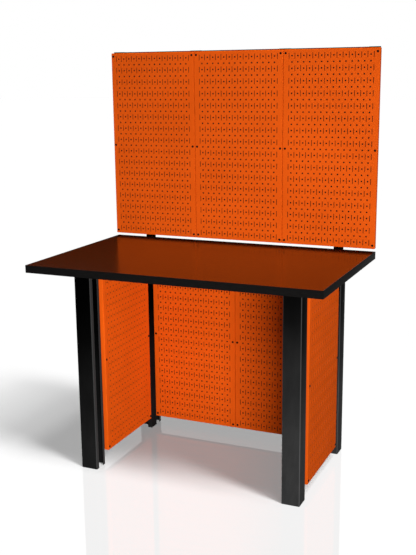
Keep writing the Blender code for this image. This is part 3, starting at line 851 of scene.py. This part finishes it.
def frame_bolts():
    """Bolts of the brackets and posts, in the places of their solids."""
    for kind, nut in (("bracket", -(LEG_SHEET + BRACKET_SHEET + 3 * SEAT)), ("post", None)):
        names = sorted(n for n in NODES if n.startswith(kind + "_bolt"))
        bm = bmesh.new()
        for name in names:
            low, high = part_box(name)
            middle = (low + high) / 2
            if kind == "post":
                place = facing(Vector((middle.x, low.y + BOLT_RISE, middle.z)), -Y_AXIS)
            elif middle.x > 0:
                place = facing(Vector((high.x - BOLT_RISE, middle.y, middle.z)), X_AXIS)
            else:
                place = facing(Vector((low.x + BOLT_RISE, middle.y, middle.z)), -X_AXIS)
            hex_bolt(bm, place, 1.0, nut)
        piece(f"{kind}_bolts", mesh_from(bm, f"{kind}_bolts"), FINISHES["bolts"], None, names)


def worktop_screws():
    """Wood screws up through the brackets and stiffeners into the worktop."""
    screw = pan_screw_mesh()
    short = Matrix.Diagonal((WOOD_GIRTH, WOOD_GIRTH, WOOD_LENGTH / SCREW_LENGTH, 1))
    spots = []
    for name in sorted(n for n in NODES if n.startswith(("leg_bracket", "top_stiffener"))):
        low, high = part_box(name)
        size = high - low
        if name.startswith("top"):
            y = low.y + STIFFENER_SCREW_DEPTH * size.y
            spots += [(share * size.x, y, high.z - STIFFENER_SHEET - SEAT) for share in STIFFENER_SCREWS]
            continue
        outer, hand = (high.x, 1) if low.x > 0 else (low.x, -1)
        spots += [(outer - hand * share * size.x, (low.y + high.y) / 2, high.z - BRACKET_SHEET - SEAT)
                  for share in BRACKET_SCREWS]
    places = [facing(Vector(spot), -Z_AXIS) @ short for spot in spots]
    mesh = mesh_from(copies(screw, places), "worktop_screws")
    piece("worktop_screws", mesh, FINISHES["bolts"])


def build_camera():
    made = bpy.data.objects.new("camera", bpy.data.cameras.new("camera"))
    bpy.context.scene.collection.objects.link(made)
    level = Vector((math.cos(CAMERA_YAW), math.sin(CAMERA_YAW), 0))
    ahead = math.cos(CAMERA_PITCH) * Z_AXIS.cross(level) + math.sin(CAMERA_PITCH) * Z_AXIS
    over = level.cross(ahead)
    right = math.cos(CAMERA_ROLL) * level + math.sin(CAMERA_ROLL) * over
    up = math.cos(CAMERA_ROLL) * over - math.sin(CAMERA_ROLL) * level
    turn = Matrix((right, up, -ahead)).transposed()
    made.matrix_world = Matrix.Translation(CAMERA_PLACE) @ turn.to_4x4()
    made.data.lens = CAMERA_LENS
    made.data.sensor_width = 36.0
    made.data.clip_end = 200.0
    bpy.context.scene.camera = made


def stage_sheet(name, corners):
    """Flat sheet of the studio around the object."""
    bm = bmesh.new()
    bm.faces.new([bm.verts.new(corner) for corner in corners])
    mesh = bpy.data.meshes.new(name)
    bm.to_mesh(mesh)
    bm.free()
    made = bpy.data.objects.new(name, mesh)
    bpy.context.scene.collection.objects.link(made)
    return made


def seen_directly(tree):
    """One for rays from the camera, from reflections and through glass, nought for scattered light."""
    path = tree.nodes.new("ShaderNodeLightPath")
    seen = path.outputs["Is Camera Ray"]
    for kind in ("Is Glossy Ray", "Is Transmission Ray"):
        seen = calculated(tree, 'ADD', seen, path.outputs[kind])
    return seen


def build_floor():
    """Polished floor, white under its own lamps; scattered light finds it darker, so it bounces little."""
    signs = ((-1, -1), (1, -1), (1, 1), (-1, 1))
    made = stage_sheet("floor", [(x * FLOOR_HALF, y * FLOOR_HALF, -FLOOR_DROP) for x, y in signs])
    look, tree, shader = material("pale_floor", Roughness=0.9, Specular_IOR_Level=0.0)
    tone = tree.nodes.new("ShaderNodeMix")
    tone.data_type = 'RGBA'
    for socket, share in (("A", FLOOR_BOUNCE), ("B", 1)):
        grey = share * FLOOR_TONE
        tone.inputs[socket].default_value = (grey, grey, grey, 1)
    tree.links.new(seen_directly(tree), tone.inputs["Factor"])
    tree.links.new(tone.outputs["Result"], shader.inputs["Base Color"])
    polish = tree.nodes.new("ShaderNodeBsdfGlossy")
    polish.inputs["Color"].default_value = (1, 1, 1, 1)
    polish.inputs["Roughness"].default_value = FLOOR_POLISH
    mixed = tree.nodes.new("ShaderNodeMixShader")
    mixed.inputs["Fac"].default_value = FLOOR_GLOSS
    tree.links.new(shader.outputs["BSDF"], mixed.inputs[1])
    tree.links.new(polish.outputs["BSDF"], mixed.inputs[2])
    tree.links.new(mixed.outputs["Shader"], tree.nodes["Material Output"].inputs["Surface"])
    made.data.materials.append(look)
    return made


def build_card():
    """Card behind the worktop that only near reflections see, as a studio uses one to tame a gloss."""
    low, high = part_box("worktop_edge_band")
    y = CAD_BOX[1][1] + CARD_GAP
    left, right, top = low.x - CARD_LEFT, high.x, high.z + CARD_RISE
    corners = [(left, y, high.z), (right, y, high.z), (right, y, top), (left, y, top)]
    made = stage_sheet("black_card", corners)
    look, tree, shader = material("black_card", Roughness=0.9, Specular_IOR_Level=0.0)
    shader.inputs["Base Color"].default_value = (CARD_TONE, CARD_TONE, CARD_TONE, 1)
    path = tree.nodes.new("ShaderNodeLightPath")
    near = calculated(tree, 'LESS_THAN', path.outputs["Ray Length"], CARD_REACH)
    clear = tree.nodes.new("ShaderNodeBsdfTransparent")
    mixed = tree.nodes.new("ShaderNodeMixShader")
    tree.links.new(near, mixed.inputs["Fac"])
    tree.links.new(clear.outputs["BSDF"], mixed.inputs[1])
    tree.links.new(shader.outputs["BSDF"], mixed.inputs[2])
    tree.links.new(mixed.outputs["Shader"], tree.nodes["Material Output"].inputs["Surface"])
    made.data.materials.append(look)
    made.visible_camera = False
    made.visible_diffuse = False
    made.visible_shadow = False
    made.visible_transmission = False


def build_world():
    """Even dim light from all round; the camera, reflections and glass see plain white."""
    world = bpy.data.worlds.new("studio")
    bpy.context.scene.world = world
    world.use_nodes = True
    tree = world.node_tree
    tree.nodes.clear()
    dim, white = (tree.nodes.new("ShaderNodeBackground") for _ in range(2))
    dim.inputs["Color"].default_value = (1, 1, 1, 1)
    dim.inputs["Strength"].default_value = AMBIENT
    white.inputs["Color"].default_value = (1, 1, 1, 1)
    white.inputs["Strength"].default_value = 1.0
    mixed = tree.nodes.new("ShaderNodeMixShader")
    tree.links.new(seen_directly(tree), mixed.inputs["Fac"])
    tree.links.new(dim.outputs["Background"], mixed.inputs[1])
    tree.links.new(white.outputs["Background"], mixed.inputs[2])
    out = tree.nodes.new("ShaderNodeOutputWorld")
    tree.links.new(mixed.outputs["Shader"], out.inputs["Surface"])


def lamp(name, kind, energy, place, aim, **settings):
    """Lamp that looks from its place to its aim and shows neither itself nor its reflection."""
    data = bpy.data.lights.new(name, kind)
    data.energy = energy
    for key, value in settings.items():
        setattr(data, key, value)
    made = bpy.data.objects.new(name, data)
    bpy.context.scene.collection.objects.link(made)
    made.location = place
    made.rotation_euler = (Vector(aim) - Vector(place)).to_track_quat('-Z', 'Y').to_euler()
    made.visible_camera = False
    made.visible_glossy = False
    return made


def softbox(name, share, place, aim, width, height, degrees):
    """Area lamp that gives its share of full white to a surface at its aim that faces it."""
    spread = math.radians(degrees)
    power = share * math.pi ** 2 * (Vector(aim) - Vector(place)).length_squared
    power *= 1 - spread / 2 / math.tan(spread / 2)
    shape = {"shape": 'RECTANGLE', "size": width, "size_y": height, "spread": spread}
    return lamp(name, 'AREA', power, place, aim, **shape)


def gathered(name, *starts):
    """Collection of the things whose names start so, for lamps to be linked to."""
    made = bpy.data.collections.new(name)
    for thing in list(bpy.context.scene.collection.all_objects):
        if thing.name.startswith(starts):
            made.objects.link(thing)
    return made


def build_light(floor):
    """World, softboxes for the object, and the floor's own lamps."""
    build_world()
    ground = gathered("ground", floor.name)
    bench = gathered("all_but_the_floor", floor.name)
    bench.collection_objects[0].light_linking.link_state = 'EXCLUDE'
    knee_side = gathered("knee_side", "side_panel_left")
    for name, settings in SOFTBOXES.items():
        made = softbox(f"{name}_softbox", *settings)
        made.light_linking.receiver_collection = knee_side if name == "knee" else bench
    below = gathered("bench_below", "worktop", "leg_", "side_", "back_", "corner")
    full = math.pi / FLOOR_TONE
    fill = lamp("floor_fill", 'SUN', FLOOR_FILL_SHARE * full, Z_AXIS, (0, 0, 0), use_shadow=False)
    fill.light_linking.receiver_collection = ground
    for name, (share, origin) in FLOOR_SUNS.items():
        power = share * full * Vector(origin).length
        sun = lamp(f"floor_sun_{name}", 'SUN', power, origin, (0, 0, 0), angle=FLOOR_SUN_ANGLE)
        sun.light_linking.receiver_collection = ground
        sun.light_linking.blocker_collection = below


finish_nodes()
build_panels()
build_legs()
build_edge_band()
cleat_bolts()
rail_bolts()
frame_bolts()
worktop_screws()
build_camera()
build_card()
build_light(build_floor())
bpy.context.scene.view_settings.view_transform = 'Standard'
